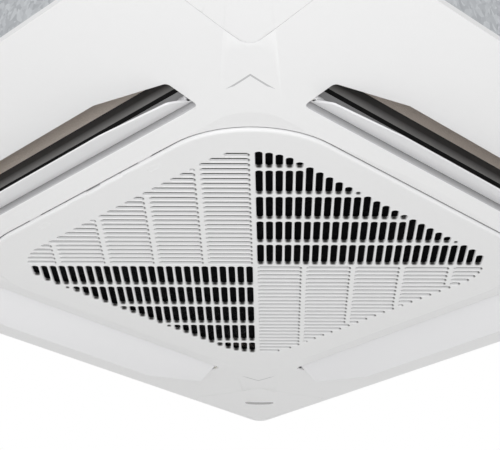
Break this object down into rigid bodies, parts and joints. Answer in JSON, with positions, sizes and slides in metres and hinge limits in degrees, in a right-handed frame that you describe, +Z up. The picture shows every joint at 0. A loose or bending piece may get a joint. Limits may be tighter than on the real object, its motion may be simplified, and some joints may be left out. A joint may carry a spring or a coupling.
{
  "type": "ceiling cassette air conditioner",
  "caption": "Square ceiling cassette air conditioner: slotted intake grille with filter, four tilting vanes, turbo fan, heat exchanger, drain pan and pump in an insulated casing.",
  "frame": {"origin": "centre of the hanger slots, on the lower bearing faces of the suspension brackets", "axes": "+Z up towards the ceiling slab, X and Y square to the panel's sides; the intake grille's hinge is on the +Y side and its latches on the -Y side"},
  "size_m": [0.95, 0.95, 0.3252],
  "materials": {
    "black_plastic": "moulded",
    "black_rubber": "moulded",
    "board": "lacquered board",
    "brass": "turned",
    "bush_plastic": "plain nylon",
    "collar_plastic": "glossy dark moulding",
    "copper": "drawn copper tube",
    "fan_plastic": "glass-filled moulding",
    "filter_frame": "matte black",
    "filter_mesh": "woven black net",
    "fin_aluminium": "thin fins",
    "galvanised_steel": "spangled zinc",
    "gasket_foam": "closed-cell foam",
    "grille_plastic": "fine satin moulding",
    "liner_foam": "soft foam sheet",
    "motor_can": "plated pressing",
    "mouth_plastic": "moulded",
    "pan_foam": "beaded foam",
    "panel_plastic": "fine satin moulding",
    "pump_plastic": "moulded",
    "smoked_window": "smoked, polished",
    "vane_plastic": "satin, a little smoother",
    "zinc_steel": "zinc plated"
  },
  "bodies": {
    "root": {"bell_mouth": "mouth_plastic", "bracket_screws": "zinc_steel", "cable_gland": "black_plastic", "casing_insulation": "liner_foam", "casing_sides": "galvanised_steel", "casing_top": "galvanised_steel", "circuit_board": "board", "control_box": "galvanised_steel", "control_box_cover": "galvanised_steel", "corner_cover_a": "panel_plastic", "corner_cover_b": "panel_plastic", "corner_cover_c": "panel_plastic", "corner_cover_d": "panel_plastic", "drain_hose": "black_rubber", "drain_outlet": "pump_plastic", "drain_pan": "pan_foam", "drain_pump_body": "pump_plastic", "drain_pump_motor": "black_plastic", "fan_motor": "motor_can", "flare_nuts": "brass", "float_switch": "pump_plastic", "gas_pipe": "copper", "grille_hinge_clips": "grille_plastic", "heat_exchanger_bends": "copper", "heat_exchanger_fins": "fin_aluminium", "heat_exchanger_plates": "galvanised_steel", "liquid_pipe": "copper", "louver_bushes": "bush_plastic", "louver_motor_back": "motor_can", "louver_motor_front": "motor_can", "louver_motor_left": "motor_can", "louver_motor_right": "motor_can", "motor_plate": "galvanised_steel", "motor_rubber_mounts": "black_rubber", "outlet_collars": "collar_plastic", "panel_body": "panel_plastic", "panel_bolts": "zinc_steel", "panel_seal": "gasket_foam", "pipe_plate": "galvanised_steel", "receiver_window": "smoked_window", "suspension_bracket_a": "galvanised_steel", "suspension_bracket_b": "galvanised_steel", "suspension_bracket_c": "galvanised_steel", "suspension_bracket_d": "galvanised_steel", "terminal_block": "black_plastic"},
    "fan": {"fan_shaft": "zinc_steel", "fan_wheel": "fan_plastic", "fan_nut": "zinc_steel"},
    "grille": {"intake_grille": "grille_plastic"},
    "latch_left": {"grille_latch_left": "grille_plastic"},
    "latch_right": {"grille_latch_right": "grille_plastic"},
    "filter": {"filter_frame": "filter_frame", "filter_mesh": "filter_mesh"},
    "float": {"float": "black_plastic"},
    "pump_rotor": {"drain_pump_impeller": "pump_plastic"},
    "vane_right": {"louver_right": "vane_plastic"},
    "vane_back": {"louver_back": "vane_plastic"},
    "vane_left": {"louver_left": "vane_plastic"},
    "vane_front": {"louver_front": "vane_plastic"}
  },
  "joints": [
    {"name": "vane_right_tilt", "type": "hinge", "parent": "root", "child": "vane_right", "pos_m": [0.301, 0, -0.1795], "axis": [0, 1, 0], "range_deg": [-38, 26]},
    {"name": "vane_back_tilt", "type": "hinge", "parent": "root", "child": "vane_back", "pos_m": [0, 0.301, -0.1795], "axis": [-1, 0, 0], "range_deg": [-38, 26]},
    {"name": "vane_left_tilt", "type": "hinge", "parent": "root", "child": "vane_left", "pos_m": [-0.301, 0, -0.1795], "axis": [0, -1, 0], "range_deg": [-38, 26]},
    {"name": "vane_front_tilt", "type": "hinge", "parent": "root", "child": "vane_front", "pos_m": [0, -0.301, -0.1795], "axis": [1, 0, 0], "range_deg": [-38, 26]},
    {"name": "grille_hinge", "type": "hinge", "parent": "root", "child": "grille", "pos_m": [0, 0.2576, -0.191], "axis": [1, 0, 0], "range_deg": [0, 85]},
    {"name": "latch_left_slide", "type": "slide", "parent": "grille", "child": "latch_left", "axis": [0, 1, 0], "range_m": [0, 0.006], "stiffness_N_per_m": 400},
    {"name": "latch_right_slide", "type": "slide", "parent": "grille", "child": "latch_right", "axis": [0, 1, 0], "range_m": [0, 0.006], "stiffness_N_per_m": 400},
    {"name": "filter_lift", "type": "slide", "parent": "grille", "child": "filter", "axis": [0, 0, 1], "range_m": [0, 0.012]},
    {"name": "fan_spin", "type": "hinge", "parent": "root", "child": "fan", "pos_m": [0, 0, 0.009], "axis": [0, 0, 1], "continuous": true},
    {"name": "pump_spin", "type": "hinge", "parent": "root", "child": "pump_rotor", "pos_m": [-0.26517, 0.32881, -0.113], "axis": [0, 0, 1], "continuous": true},
    {"name": "float_rise", "type": "slide", "parent": "root", "child": "float", "axis": [0, 0, 1], "range_m": [0, 0.01]}
  ]
}
